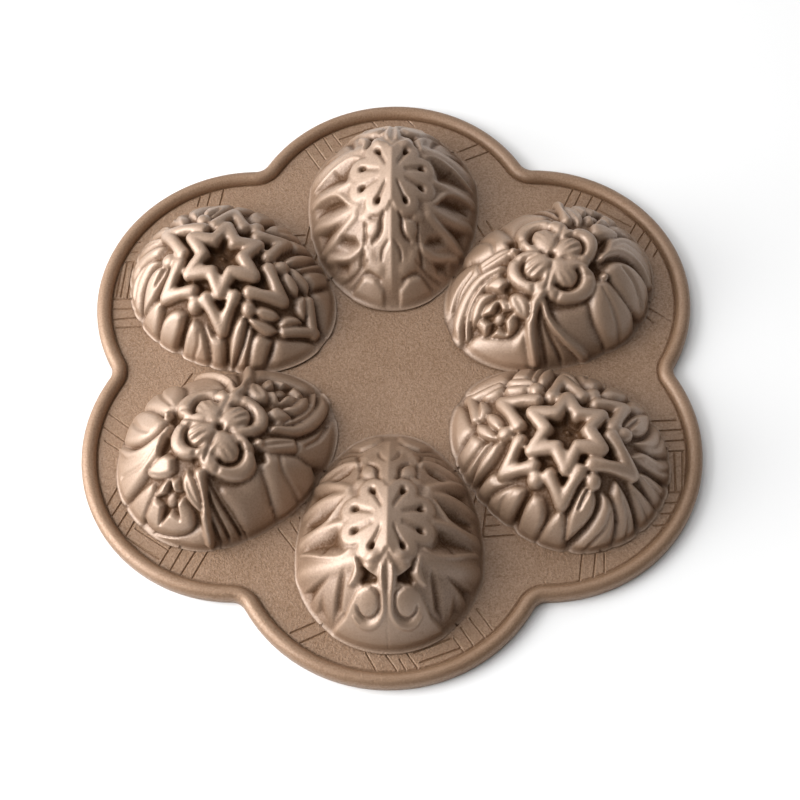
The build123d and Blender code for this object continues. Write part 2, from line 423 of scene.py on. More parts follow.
# %% Plan points, and how they lie to a line
class Plan:
    """Points of a skin seen from above, in millimetres."""

    def __init__(self, x, y):
        self.x = x
        self.y = y

    def halves(self):
        """Two rounds of the same strokes, with the plan turned over between them."""
        for half in ("first", "second"):
            yield half
            self.y = -self.y

    def nearest(self, line):
        """For each point: the nearest distance to a line, and where on it."""
        distance = np.full(self.x.shape, 1e9)
        place = np.zeros_like(self.x)
        for number, (start, end) in enumerate(zip(line, line[1:])):
            run = end[:2] - start[:2]
            away_x = self.x - start[0]
            away_y = self.y - start[1]
            share = np.clip((away_x * run[0] + away_y * run[1]) / max(run @ run, 1e-9), 0.0, 1.0)
            reach = np.hypot(away_x - share * run[0], away_y - share * run[1])
            nearer = reach < distance
            distance = np.where(nearer, reach, distance)
            place = np.where(nearer, number + share, place)
        return distance, place

    def stroke(self, points, width, straight=False):
        """Distance from a line as a share of its half width, which may change along it."""
        line = np.array(points, float) if straight else flowing(points)
        distance, place = self.nearest(line)
        if line.shape[1] > 2:
            width = np.interp(place, np.arange(len(line)), line[:, 2])
        return distance / width

    def within(self, closed):
        """Which points lie inside a closed line, whose last point is its first again."""
        inside = np.zeros(self.x.shape, bool)
        for start, end in zip(closed, closed[1:]):
            if start[1] != end[1]:
                crossing = start[0] + (self.y - start[1]) * (end[0] - start[0]) / (end[1] - start[1])
                inside ^= ((start[1] > self.y) != (end[1] > self.y)) & (self.x < crossing)
        return inside

    def depth_inside(self, points):
        """Distance in from a closed outline, negative outside it."""
        line = np.array([*points, points[0]], float)
        distance = self.nearest(line)[0]
        return np.where(self.within(line), distance, -distance)


print("5 mm from a line:", Plan(np.array([3]), np.array([4])).stroke([(0, 0), (0, -9)], 1, True))


# %% Tools that change the height
class Wax(Plan):
    """Heights over the plan points of a skin, in millimetres."""

    def __init__(self, x, y):
        super().__init__(x, y)
        self.height = np.zeros_like(x)

    def raise_to(self, share, height):
        """Lays material of that height where the share of the way out is under 1."""
        self.height = np.where(share < 1, np.maximum(self.height, height), self.height)

    def sink_to(self, share, floor):
        """Cuts down to a floor as far as the share goes from 0 to 1."""
        self.height = self.height * (1 - share) + np.minimum(self.height, floor) * share

    def bar(self, points, lift, width=1.5, straight=False):
        """A round cord laid along a line."""
        share = self.stroke(points, width, straight)
        self.raise_to(share, lift * dome(share))

    def bead(self, x, y, radius, lift, base=0.0):
        """A round button, or the top of one."""
        share = np.hypot(self.x - x, self.y - y) / radius
        self.raise_to(share, base + lift * dome(share))

    def swell(self, points, lift, width=4.0):
        """A soft rise along a line, on top of what is there."""
        self.height += lift * (1 - np.minimum(self.stroke(points, width), 1.0) ** 2) ** 2

    def groove(self, points, depth, width=0.8):
        """A soft hollow along a line."""
        self.swell(points, -depth, width)

    def pad(self, points, lift, edge):
        """An area raised with a soft edge."""
        self.height += lift * eased(self.depth_inside(points) / edge)

    def pillow(self, points, lift, edge=3.0, root=-1.4):
        """A round-shouldered cushion with a smooth outline, from a root below the skin."""
        depth = self.depth_inside(flowing([*points, points[0]], 3)[:-1, :2])
        share = np.clip(depth / edge, 0.0, 1.0)
        cushion = root + (lift - root) * np.sqrt(1 - (1 - share) ** 2)
        self.height = np.where(depth > 0, cushion, self.height)

    def chip(self, points, slope, deepest):
        """Sloping facets, as a carver's knife cuts them."""
        self.height -= np.clip(self.depth_inside(points) * slope, 0.0, deepest)

    def well(self, points, floor, edge=0.9):
        """An area sunk with steep walls."""
        self.sink_to(eased(self.depth_inside(points) / edge + 0.5), floor)

    def slot(self, points, floor):
        """A line sunk with steep walls."""
        self.sink_to(eased((1 - self.stroke(points, 1.0)) / 0.6), floor)


print("tools:", ", ".join(name for name in vars(Wax) if not name.startswith("_")))

# %% [markdown]
# ## First ornament: the rosette
# Eight plump petals lie round the top of the back, and each has a keyhole pit that points to
# the middle. Below them the sides are chip-carved into ribs and facets. At the blunt end a bib
# with two scrolls hangs down, and at the pointed end two lobes flank the ridge. The two halves
# mirror each other.

# %% Rosette: ribs and facets of the sides
ROSETTE_RIBS = (
    ([(9.4, 13), (9.6, 22), (7.6, 33)], 1, 4.6),
    ([(-5.6, 17), (-5.9, 24), (-4.4, 33)], 1, 2.6),
    ([(-17.4, 15), (-18.4, 24), (-16.4, 32)], 1, 3),
    ([(-20.4, 15), (-27, 25), (-28.6, 31)], 1.2, 2.6),
    ([(-32.6, 11.4), (-34.2, 18), (-31, 26)], 1.2, 2.2),
)
ROSETTE_FACETS = (
    ([(6.3, 15), (5.4, 19.6), (4.6, 25), (0.4, 32.6), (-1.8, 31), (-5, 18.6)], 0.62, 2.4),
    ([(-15.6, 14.4), (-14, 17.4), (-8.6, 21.8), (-6.8, 27), (-6.6, 33), (-12.4, 32), (-15.4, 26)],
     0.62, 2.4),
    ([(-21, 18.8), (-26, 29.4), (-19, 31)], 0.8, 2.2),
    ([(-27.6, 14.6), (-25, 20.8), (-28.6, 22.6), (-31.6, 18), (-32, 12.6)], 0.75, 2.2),
    ([(-35.4, 15.8), (-33, 23), (-37.6, 23.8), (-39.4, 18.4)], 0.7, 1.6),
    ([(10.2, 15.2), (17, 15.6), (24.4, 16.8), (27, 20.6), (20.6, 19.9), (14.6, 18.2)], 0.9, 1.8),
    ([(12, 19.8), (19.2, 29.6), (13.8, 32)], 0.8, 2.2),
    ([(16.6, 24.4), (25.6, 22.4), (22.4, 27.6)], 0.5, 1),
)
ROSETTE_EDGES = (
    [(5.6, 13.4, 0.7), (7.4, 17.6, 1), (5.4, 24.4, 1), (0.8, 32.6, 0.8)],
    [(-16.4, 13.4, 0.6), (-14.2, 17.4, 0.9), (-8.2, 22.2, 1), (-6.2, 27.4, 1), (-6.4, 33, 0.8)],
    [(-21.4, 15, 0.6), (-24.6, 20, 0.9), (-27.4, 26, 0.8)],
)
ROSETTE_LINES = (
    ([(-38, 12.6, 1.2), (-32, 11, 1.1), (-25.6, 10.6, 0.9), (-21.6, 12.4, 0.5)], 1),
    ([(-41.6, 21, 0.8), (-40.6, 15, 1), (-37, 9.6, 0.5)], 0.9),
    ([(-1.6, 19.6, 0.8), (1.6, 23.4, 0.8), (4.6, 24.4, 0.6)], 0.8),
    ([(-12.6, 20, 0.7), (-11, 25, 0.9), (-11.2, 31, 0.8)], 0.8),
)


def rosette_sides(wax):
    """Ribs that run down the sides, and the facets cut between them."""
    for half in wax.halves():
        for points, lift, width in ROSETTE_RIBS:
            wax.swell(points, lift, width)
        for points, slope, deepest in ROSETTE_FACETS:
            wax.chip(points, slope, deepest)
        for points in ROSETTE_EDGES:
            wax.bar(points, 1.0)
        for points, depth in ROSETTE_LINES:
            wax.groove(points, depth)


print(len(ROSETTE_FACETS), "facets on each side")

# %% Rosette: the low plate with its keyhole petals
ROSETTE_MIDDLE = -5.4
# Tip and root of each pit
ROSETTE_PITS = np.array([[(6.0, 5.6), (-1.3, 2.0)], [(-0.9, 12.2), (-3.4, 5.2)],
                         [(-10.1, 12.2), (-7.4, 5.2)], [(-16.9, 5.6), (-9.4, 2.0)]])
plate_radius = 12.4
plate_lift = 0.4
petal_tip_radius = 5.3
keyhole_floor = -2.2


def rosette_plate(wax, keel):
    """Scalloped plate over the ridge, with a pit in each petal."""
    reach = plate_radius - np.hypot(wax.x - ROSETTE_MIDDLE, wax.y)
    for half in wax.halves():
        for tip, root in ROSETTE_PITS:
            reach = np.maximum(reach, petal_tip_radius - np.hypot(wax.x - tip[0], wax.y - tip[1]))
    share = eased(reach / 0.9 + 0.3)
    plate = plate_lift + 0.35 * keel + 0.45 * eased(np.abs(wax.y) / 9.0)
    wax.height = np.where(share > 0, wax.height * (1 - share) + (keel + plate) * share, wax.height)
    for half in wax.halves():
        for tip, root in ROSETTE_PITS:
            wax.groove([(*tip, 1.4), (*(0.5 * (tip + root)), 0.9), (*root, 0.5)], 1.4)
            wax.slot([(*tip, 1.25), (*(0.9 * tip + 0.1 * root), 0.9)], keyhole_floor)


print(2 * len(ROSETTE_PITS), "keyhole petals")

# %% Rosette: lappets, bib and scrolls at the blunt end
ROSETTE_BIB = [(18, 4), (17.9, 8.4), (19.2, 11.4), (22.4, 13.8), (24.8, 15.4), (26.2, 18.6),
               (28.4, 23.8), (42, 12), (42, -1), (19, -1)]
ROSETTE_STEM_PIT = [(13, 8.4), (15, 8.6), (17.2, 9.6), (18.2, 8.8), (18.2, 4.2), (16.6, 3.8),
                    (15.2, 6)]
ROSETTE_STEM = [(12.6, 1.7, 0.7), (16, 1.9, 1.1), (21, 1.4, 1.2), (25.6, 1.4, 1.2),
                (28.6, 3.6, 1.1), (29.4, 6.8, 1), (28.4, 9.8, 0.9), (26, 12, 0.6)]
# Bearing and half width along a scroll
SCROLL_TURNS = ((195, 0.5), (225, 0.7), (255, 0.8), (290, 0.9), (325, 0.9), (0, 0.9), (30, 0.8),
                (60, 0.6), (85, 0.4))
scroll_x, scroll_y = 23.2, 6.5
scroll_length, scroll_width = 4.3, 4.1
stem_pit_floor = -3.2
bib_lift = 1.5


def rosette_bib(wax):
    """Lappets under the petals, deep pits beside the stem, and the bib with its scrolls."""
    for half in wax.halves():
        wax.swell([(9.6, 5), (12.4, 6.6)], 1.2, 3.4)
        wax.bar([(8.4, 11.6, 0.6), (12, 10.6, 1.3), (15.2, 11.4, 1.5), (17.2, 13.2, 0.9)], 1.7)
        wax.well(ROSETTE_STEM_PIT, stem_pit_floor, 1.0)
        wax.groove([(13.4, 8.9, 1), (9.4, 10.6, 0.5)], 2.0)
    for half in wax.halves():
        inside = wax.depth_inside(ROSETTE_BIB)
        bib = np.maximum(wax.height, bib_lift * eased(inside / 1.3))
        wax.height = np.where(inside > 0, bib, wax.height)
        wax.groove([(scroll_x + scroll_length * np.cos(np.radians(turned)),
                     scroll_y + scroll_width * np.sin(np.radians(turned)), width)
                    for turned, width in SCROLL_TURNS], 1.5)
        wax.bead(22.8, 6.9, 3.4, 0.3, bib_lift)
        wax.bar(ROSETTE_STEM, 2.1)
        wax.groove([(25.6, 15.6, 0.7), (27.6, 19.4, 1), (29.6, 23.4, 1)], 1.0)
    wax.groove([(11, 0, 0.7), (15, 0, 0.8), (20, 0, 0.6)], 0.7)


print("bib outline has", len(ROSETTE_BIB), "corners")

# %% Rosette: lobes at the pointed end, and the whole ornament
ROSETTE_HOOKS = (
    ([(-31.4, 7.6, 0.7), (-30, 5.6, 1.1), (-27.4, 4.2, 1.2), (-24.2, 4.1, 1), (-21.6, 2.9, 0.5)],
     1.5),
    ([(-23.4, 4.6, 0.6), (-22.9, 9.2, 0.6)], 0.9),
    ([(-37.4, 3.9, 0.6), (-34.6, 3.4, 0.9), (-31.6, 1.2, 0.5)], 0.9),
    ([(-44.6, 16, 0.7), (-41, 10.4, 0.9), (-43.4, 4.6, 0.7)], 1),
)
ROSETTE_NOSE = [(-40.6, 11.6), (-42.4, 6.4), (-46.4, 2.4), (-52, 2.6), (-52, 16), (-44.6, 17)]
keel_height = 1.5
keel_fade = 4.5


def rosette_lobes(wax):
    """Lobes and hooks beside the ridge, and the nose."""
    for half in wax.halves():
        wax.bead(-26.8, 7.2, 3.4, 1.0)
        for points, depth in ROSETTE_HOOKS[:2]:
            wax.groove(points, depth)
        wax.bead(-21.6, 10.6, 2.6, 0.7)
        wax.groove(*ROSETTE_HOOKS[2])
        wax.swell([(-40.4, 5.4), (-38.4, 8), (-35.6, 9.4)], 0.7, 3.4)
        wax.pad(ROSETTE_NOSE, 1.1, 1.8)
        wax.groove(*ROSETTE_HOOKS[3])


def rosette(x, y):
    """Height of the rosette carving over the plan."""
    wax = Wax(x, y)
    keel = keel_height * np.exp(-np.abs(y) / keel_fade) * eased((x + 50) / 8) * eased((33 - x) / 8)
    wax.height += keel
    rosette_sides(wax)
    rosette_plate(wax, keel)
    rosette_bib(wax)
    rosette_lobes(wax)
    return wax.height


print("rosette on the ridge, in mm:", np.round(rosette(np.zeros(1), np.zeros(1)), 2))

# %% [markdown]
# ## Second ornament: the star
# A round cord runs in a zigzag, six points out and six in, round a deep hollow with a button.
# Six chevrons stand outside its points, with a pit in the fork of each, and beads sit between
# them. Plump leaves, petals and lobes cover the sides from there down to the foot. They mirror
# each other, but the chevrons stand a little unevenly, as on the real pan.

# %% Star: leaves, petals and lobes of the sides
STAR_LEAVES = (
    ([(-7.6, 25), (-12, 25.4), (-17, 28.4), (-19.6, 32), (-15, 37), (-8.4, 37), (-6.8, 29)],
     2, 2.6),
    ([(-4.4, 25), (-0.6, 24.8), (2.6, 27), (4.4, 31), (3, 37), (-3.6, 37), (-5.4, 30)], 2, 2.6),
    ([(7, 24.4), (10.4, 25.4), (14.6, 31), (13, 37), (4.4, 37), (4.8, 30)], 1.8, 3),
    ([(10.6, 15), (13.4, 13.4), (17, 15.2), (18.4, 20), (16.8, 26), (13.8, 31), (11, 26),
     (10.4, 20)], 2.1, 2.4),
    ([(17.4, 12.4), (21.6, 12), (26.4, 16), (28.6, 24), (21, 32), (15.6, 33), (18.6, 25),
     (19.2, 18)], 2, 3),
    ([(19.6, 5.4), (25.4, 6.8), (31.4, 10), (35, 15), (29.4, 24), (26.4, 15.4), (20.6, 10.8)],
     2, 3),
    ([(22.4, 2.2), (27, 1), (38, 0.2), (37, 12), (32.6, 9.4), (26.6, 5.8)], 1.7, 2.8),
    ([(-17.6, 25.6), (-12.6, 24.4), (-16.8, 28), (-19.6, 31.6), (-19, 37), (-26, 36), (-25.4, 29),
     (-22.4, 24.4)], 1.7, 2.6),
    ([(-27.6, 15.2), (-24.4, 14.2), (-23.4, 19), (-25.2, 25.6), (-28.4, 30), (-29.4, 22)],
     2.2, 2.2),
    ([(-31, 16.4), (-28.6, 15.4), (-29.6, 22), (-29.6, 30), (-34, 28), (-32.4, 22)], 1.8, 2),
    ([(-38.4, 13.6), (-33.4, 15), (-31.6, 18), (-33, 24), (-35, 30), (-39.6, 24)], 1.8, 2.6),
    ([(-56, 0.6), (-49, 3.4), (-43.4, 8.6), (-39, 12.6), (-39.6, 18), (-40, 27), (-50, 22),
     (-56, 10)], 1.5, 4),
    ([(-38.8, 9.8), (-34.4, 9.8), (-28.6, 12.2), (-26.8, 14.4), (-31, 15.4), (-36.4, 14)], 2, 2),
    ([(-36.8, 5.6), (-33.6, 4.8), (-28.4, 7.4), (-27.6, 10.8), (-31, 11), (-35.4, 8.8)], 2.2, 2),
    ([(-44, 0.4), (-40.4, 0.6), (-37, 4.4), (-37.6, 8.8), (-40.4, 6)], 1.8, 1.8),
)
STAR_VEINS = (
    ([(12.8, 14, 0.8), (12.6, 17, 1), (12.9, 21, 0.5)], 2.4),
    ([(-5.8, 26, 0.8), (-6.2, 30, 1), (-6.4, 35, 0.8)], 1),
    ([(-12, 27, 0.6), (-13.6, 30, 0.9), (-13, 34, 0.7)], 0.9),
    ([(22.4, 14.6, 0.6), (23.6, 20, 1), (20.8, 28, 0.9)], 1),
    ([(24, 8.4, 0.6), (29, 11.6, 1), (31, 16, 0.8)], 1),
    ([(26, 3.4, 0.6), (30, 4.2, 0.9), (35, 5.4, 0.8)], 0.9),
)


def star_sides(wax):
    """Cushions from the star down to the foot, and the creases in them."""
    for half in wax.halves():
        for points, lift, edge in STAR_LEAVES:
            wax.pillow(points, lift, edge)
        wax.bar([(-48.4, -0.6, 1.8), (-45, 3, 1.9), (-40, 8.8, 1.7)], 1.9)
        for points, depth in STAR_VEINS:
            wax.groove(points, depth)


print(2 * len(STAR_LEAVES), "leaves, petals and lobes")

# %% Star: chevrons, cord and hollow
STAR = np.array([-5.4, -0.2])
# Corner and both ends of each chevron
CHEVRONS = np.array([
    [(22.4, 0.6), (9.4, 7.0), (9.4, -6.6)],
    [(6.4, 23.0), (8.1, 10.8), (-2.5, 17.3)],
    [(-19.8, 22.0), (-18.4, 10.6), (-8.9, 17.1)],
    [(-33.4, 0.0), (-22.4, -6.8), (-22.4, 6.0)],
    [(-18.0, -23.0), (-19.0, -11.8), (-9.4, -17.6)],
    [(6.6, -22.8), (6.8, -11.2), (-2.4, -17.7)],
])
# Place, radius and lift of each bead
STAR_BEADS = ((-6.1, 20.9, 3.3, 2.8), (-25.4, 11.2, 3.1, 2.7), (12.9, 11.4, 3.1, 2.6))
star_sink = 1.2
ground_radius = 17.6
ground_depth = 3.2
chevron_fork_floor = -3.8
point_radius = 14.9
fork_radius = 7.9
cord_lift = 2.6
hollow_share = 0.86
hollow_depth = 4.4


def star(x, y):
    """Height of the star carving over the plan."""
    wax = Wax(x, y)
    wax.height -= star_sink
    star_sides(wax)
    # The ground round the star lies deep, and so do the forks of the chevrons
    share = eased((ground_radius - np.hypot(x - STAR[0], y - STAR[1])) / 1.2 + 0.5)
    wax.height = wax.height * (1 - share) - ground_depth * share
    for corner, first, second in CHEVRONS:
        fork = (first + second) / 2
        wax.well([fork + (corner - fork) * 0.62, fork + (first - fork) * 0.6,
                  fork + (STAR - fork) * 0.2, fork + (second - fork) * 0.6],
                 chevron_fork_floor, 1.0)
        wax.bar([(*first, 2.9), (*(first * 0.6 + corner * 0.4), 2.4), (*corner, 3.0),
                 (*(second * 0.6 + corner * 0.4), 2.4), (*second, 2.9)], cord_lift, straight=True)
    for half in wax.halves():
        for bead in STAR_BEADS:
            wax.bead(*bead)
    zigzag = [around(*STAR, fork_radius if turned % 60 else point_radius, turned)
              for turned in range(0, 361, 30)]
    wax.well([STAR + hollow_share * (np.array(point) - STAR) for point in zigzag[:-1]],
             -hollow_depth, 1.2)
    wax.bar(zigzag, cord_lift, 2.95, straight=True)
    wax.bead(*STAR, 1.5, 1.8, -hollow_depth)
    return wax.height


print(len(CHEVRONS), "chevrons")

# %% [markdown]
# ## Third ornament: the blossom
# Four pleated buds sit close together, each in a slot under a thick hood. Broad leaves lie over
# each other from there to the foot, with bands and small oval leaves between them and two small
# sunken star flowers. Here the halves don't mirror each other, so every stroke is its own.

# %% Blossom: broad leaves and their veins
BLOSSOM_LEAVES = (
    ([(-14, 17), (-11, 20), (-4, 22), (2, 20), (4.4, 22), (3, 28), (1, 37), (-12, 37),
     (-13.6, 28)], 0.9, 5),
    ([(-33, 23), (-29, 19.4), (-22, 17), (-17.6, 15.4), (-14.2, 18.6), (-12.6, 26), (-11, 37),
     (-22, 37), (-32, 33)], 2.2, 5),
    ([(-52, 6), (-44, 11), (-36, 13.6), (-30, 14.6), (-28, 18.4), (-33, 24), (-42, 24), (-52, 16)],
     1.3, 4),
    ([(-31.6, 13.6), (-26, 11.8), (-20.4, 10.8), (-17, 13.6), (-19.6, 16.6), (-25, 18),
     (-30, 18.6)], 1.9, 2.6),
    ([(-55, -6), (-46, -5.4), (-41, -10), (-35, -16), (-28.6, -15.4), (-30.4, -21), (-32, -28),
     (-44, -24), (-54, -14)], 1.6, 4.5),
    ([(-18, -17), (-10, -20), (-3.6, -21.6), (-4.6, -28), (-2.4, -37), (-12, -37), (-18.6, -29)],
     0.6, 4),
    ([(-20, -11), (-20.6, -20), (-17.4, -28), (-11, -36), (-22, -37), (-32, -30), (-28.6, -20)],
     0, 3),
    ([(2, -15.6), (7.4, -16.6), (10.4, -22), (13.6, -29), (10, -36), (2, -38), (-3, -35),
     (-4.6, -28), (-3, -21.6)], 2.1, 4.6),
    ([(8.4, -13.6), (12, -11.4), (17, -11.4), (22, -13.8), (25.6, -19), (25, -24), (18, -31),
     (12.6, -29), (9.6, -21)], 2, 3.4),
    ([(10.6, -7.6), (14.6, -2.8), (21, -0.6), (28, 0.6), (37, -1), (36, -10), (31, -18),
     (26.6, -23), (27, -16), (23.6, -11), (16.6, -8.8)], 2.2, 3.6),
    ([(23.6, 3.4), (28, 1.8), (37, 0.4), (37, 10), (31, 10), (25, 7.4)], 1.2, 3),
    ([(13.4, 25), (18, 25.4), (24, 22.6), (31, 13), (36, 10), (33, 22), (24, 31), (14.6, 35)],
     1.3, 3.6),
    ([(14.8, 9.6), (19.4, 6.6), (26, 7.4), (32, 9.6), (31, 16), (25, 22.8), (18.6, 25.4),
     (15.6, 22), (16.4, 15.6)], 1.9, 3),
    ([(4.8, 14), (8, 14), (11, 21), (14.4, 29), (12, 37), (1.6, 37), (3.8, 27)], 0, 3),
    ([(-43.6, -8.6), (-43.6, -1.4), (-38, 0.6), (-31.6, -1.6), (-29.6, -7.4), (-31.6, -14.4),
     (-37, -15)], 1.9, 3),
)
BLOSSOM_VEINS = (
    ([(7.4, 17, 0.6), (8.8, 23, 0.9), (8.2, 33, 1)], 1.5),
    ([(6, 16, 0.6), (5.6, 24, 0.9), (3.8, 34, 1)], 1.6),
    ([(10.4, 21, 0.5), (11.6, 27, 0.8), (11.6, 34, 0.9)], 1.2),
    ([(-22.4, 18.4, 0.8), (-20.4, 23, 1.4), (-21.6, 31, 1.4)], 1.2),
    ([(-21.6, -13, 0.6), (-24.6, -20, 1), (-27, -30, 1)], 1.4),
    ([(-20.8, -14, 0.6), (-22.4, -22, 0.9), (-21, -32, 1)], 1.4),
    ([(4, -19, 0.8), (4.6, -26, 1.4), (3.4, -34, 1.4)], 0.9),
    ([(16, -14, 0.8), (18, -19.6, 1.4), (18, -27, 1.4)], 0.9),
    ([(17, -5.6, 0.7), (24, -4.2, 1), (31, -8.4, 1)], 0.7),
    ([(-47, 10, 0.8), (-40, 15, 1), (-33.6, 17, 0.8)], 1),
    ([(-29.4, 15, 0.5), (-24.4, 14.2, 0.8), (-19, 13.4, 0.5)], 1.2),
)


def blossom_leaves(wax):
    """Cushions with a crease round each. Later ones lie over earlier ones."""
    for points, lift, edge in BLOSSOM_LEAVES:
        wax.pillow(points, lift, edge)
    for points, depth in BLOSSOM_VEINS:
        wax.groove(points, depth)


print(len(BLOSSOM_LEAVES), "broad leaves")

# %% Blossom: bands, small leaves and star flowers
BLOSSOM_BANDS = (
    ([(-52.6, -4, 1.6), (-48, 3, 2.2), (-41, 8.6, 2.4), (-33, 11, 2.2), (-25.4, 8.6, 1.4)], 2.3),
    ([(-48.6, -4.6, 0.8), (-44.6, 1.4, 1.1), (-38.6, 5.8, 1.2), (-33, 7.4, 1), (-27.6, 6.8, 0.7)],
     1.6),
    ([(7.6, 12.6, 2.3), (9.6, 17.6, 1.9), (12, 23, 1.8), (14.6, 30, 1.8)], 3),
    ([(9.4, -9, 1.2), (14, -7.6, 1.8), (20.6, -8.4, 2), (25.4, -12.6, 1.9), (27, -20, 1.4)], 2.5),
    ([(-19, -12, 1.1), (-20.2, -19, 1.4), (-17, -27.4, 1.4), (-11, -34.6, 1.4)], 2.7),
    ([(-17.6, -9.6, 2.2), (-23.4, -12.4, 2.3), (-27.8, -18, 2.1), (-30.6, -26, 1.9)], 3.1),
)
SMALL_LEAVES = (
    [(11, 8.6), (14.4, 11), (16, 15.6), (15, 20.6), (13, 23.4), (10.8, 19.6), (9.6, 14)],
    [(12.6, 2.6), (15.4, 7.2), (19.8, 6.2), (23.4, 2.8), (23.8, -0.8), (18.6, -1.8), (14.6, -0.8)],
    [(-28.8, -2.8), (-25.6, -4.2), (-23.4, -8.4), (-24.4, -12.4), (-27.4, -14.8), (-30.4, -11),
     (-30.8, -6.2)],
    [(-45.4, -3.2), (-43, 2.2), (-38, 5.2), (-34.8, 4.8), (-33, 1), (-37, 0.4), (-41, -2.6)],
    [(-34.8, 6.2), (-30.6, 7.2), (-27.2, 6), (-26.2, 2.4), (-28, -1.2), (-31.6, 0.8), (-33.4, 4)],
)
SMALL_VEINS = (
    [(16.4, 6.8, 0.5), (20, 4.4, 0.7), (22.6, 1, 0.5)],
    [(12.2, 11, 0.4), (13.2, 15.6, 0.6), (12.8, 20.6, 0.4)],
    [(-27.2, -5.6, 0.4), (-27, -9.6, 0.6), (-27.6, -13, 0.4)],
)


small_lift = 2.3
small_edge = 2.4
flower_radius = 6.6
flower_floor = -1.6


def star_flower(wax, x, y, turned):
    """A small five-armed flower, sunk with steep walls, with a low button in it."""
    wax.well([around(x, y, flower_radius * (0.46 if point % 2 else 1), turned + 36 * point)
              for point in range(10)], flower_floor, 1.1)
    wax.bead(x, y, 0.36 * flower_radius, 1.2, -1.3)


def blossom_bands(wax):
    """Curled edges, small oval leaves with a vein, and two flowers."""
    for points, lift in BLOSSOM_BANDS:
        wax.bar(points, lift)
    for points in SMALL_LEAVES:
        wax.pillow(points, small_lift, small_edge)
    for points in SMALL_VEINS:
        wax.groove(points, 0.9)
    star_flower(wax, -36.4, -7.4, 58)
    star_flower(wax, 21.4, 13.4, 238)


print(len(BLOSSOM_BANDS), "bands and", len(SMALL_LEAVES), "small leaves")

# %% Blossom: hoods and buds
# Place and facing of each bud, and the reach and half width of its hood
BUDS = (
    (-5.4, 9.6, 98, 8.1, 3.5),
    (1.2, -0.2, -2, 7.5, 3.2),
    (-6.6, -8.8, -82, 8.1, 3.5),
    (-15.2, -0.2, 182, 7.7, 3.2),
)
hood_lift = 2.7
hood_end = 125
bud_lift = 2.9
bud_half_width = 5.3
bud_slot_floor = -2.8


def hood(wax, bud_x, bud_y, facing, hood_reach, hood_width):
    """A thick cord bent round a bud, uneven as if modelled by hand, with two folds across it."""
    line = []
    for turned in range(-hood_end, hood_end + 1, 25):
        swing = 0.8 * np.sin(np.radians(3 * turned) + bud_x)
        reach = hood_reach - 0.9 * (turned / hood_end) ** 2 + swing
        width = hood_width * (0.62 + 0.38 * np.cos(np.radians(turned) / 1.3 + 0.5 * np.sin(bud_x)))
        line.append((*around(bud_x, bud_y, reach, facing + turned), width))
    wax.bar(line, hood_lift)
    for turned in (-62, 54):
        wax.groove([(*around(bud_x, bud_y, hood_reach + step, facing + turned), width)
                    for step, width in ((-2.4, 0.5), (0.4, 1.1), (3, 0.8))], 0.9)


def bud(wax, bud_x, bud_y, facing, slot_reach):
    """A pleated bud behind the slot that parts it from its hood."""
    wax.slot([(*around(bud_x, bud_y, slot_reach, facing + turned),
               0.6 + 0.9 * np.cos(np.radians(turned))) for turned in range(-80, 81, 20)],
             bud_slot_floor)
    forward = around(0.0, 0.0, 1.0, facing)
    along = (wax.x - bud_x) * forward[0] + (wax.y - bud_y) * forward[1]
    over = (wax.y - bud_y) * forward[0] - (wax.x - bud_x) * forward[1]
    share = np.hypot((along + 1.5) / (slot_reach + 1.8), over / bud_half_width)
    pleats = 0.6 * np.cos(2.5 * over / (1 + 0.05 * along)) * eased(along / 4 + 0.9)
    wax.raise_to(share, bud_lift * dome(share) + pleats * (1 - share ** 4))


print(len(BUDS), "buds")

# %% Blossom: the whole ornament
# Creases between the hoods, beads (place and radius), and small deep pits (corners and floor)
HOOD_CREASES = (
    [(-4.2, 2.6, 0.5), (-0.6, 5.6, 0.8), (3.8, 9.4, 0.6)],
    [(-4.4, -2.6, 0.5), (-1, -5.4, 0.8), (3, -9, 0.6)],
    [(-9.2, -2.6, 0.5), (-12, -5.6, 0.8), (-16, -9.4, 0.6)],
    [(-9, 2.8, 0.5), (-11.4, 5.6, 0.8), (-15.4, 9.6, 0.6)],
)
BLOSSOM_BEADS = ((-17.6, 11.8, 1.9), (7.2, 12.8, 2.3), (7, -15.4, 1.7), (-19.6, -10, 2.1))
LEAF_PITS = (
    ([(12.4, -3), (17.4, -1.8), (15.6, -4.4), (11.4, -7.2)], -2.6),
    ([(-29.6, 0.6), (-26.8, 1), (-26.2, -2.8), (-29.4, -2.6)], -2.2),
)
HOOD_PITS = (
    ([(2.8, -10.2), (6.8, -9.4), (7.6, -14), (4.6, -14.6)], -3),
    ([(-17.4, 15.4), (-14, 14.8), (-13.4, 18), (-16.6, 18.6)], -2.8),
    ([(-8.6, 0.6), (-7.2, 2), (-5.8, 0.8), (-7, -0.6)], -1.6),
)
blossom_sink = 1.0
slot_from_hood = 3.1
crease_depth = 1.7
bead_lift = 2.7


def blossom(x, y):
    """Height of the blossom carving over the plan."""
    wax = Wax(x, y)
    wax.height -= blossom_sink
    blossom_leaves(wax)
    blossom_bands(wax)
    for points, floor in LEAF_PITS:
        wax.well(points, floor)
    for each in BUDS:
        hood(wax, *each)
    for bud_x, bud_y, facing, hood_reach, hood_width in BUDS:
        bud(wax, bud_x, bud_y, facing, hood_reach - slot_from_hood)
    for points in HOOD_CREASES:
        wax.groove(points, crease_depth)
    for bead_x, bead_y, radius in BLOSSOM_BEADS:
        wax.bead(bead_x, bead_y, radius, bead_lift)
    for points, floor in HOOD_PITS:
        wax.well(points, floor)
    return wax.height


print(len(BLOSSOM_BEADS), "beads,", len(LEAF_PITS) + len(HOOD_PITS), "pits")

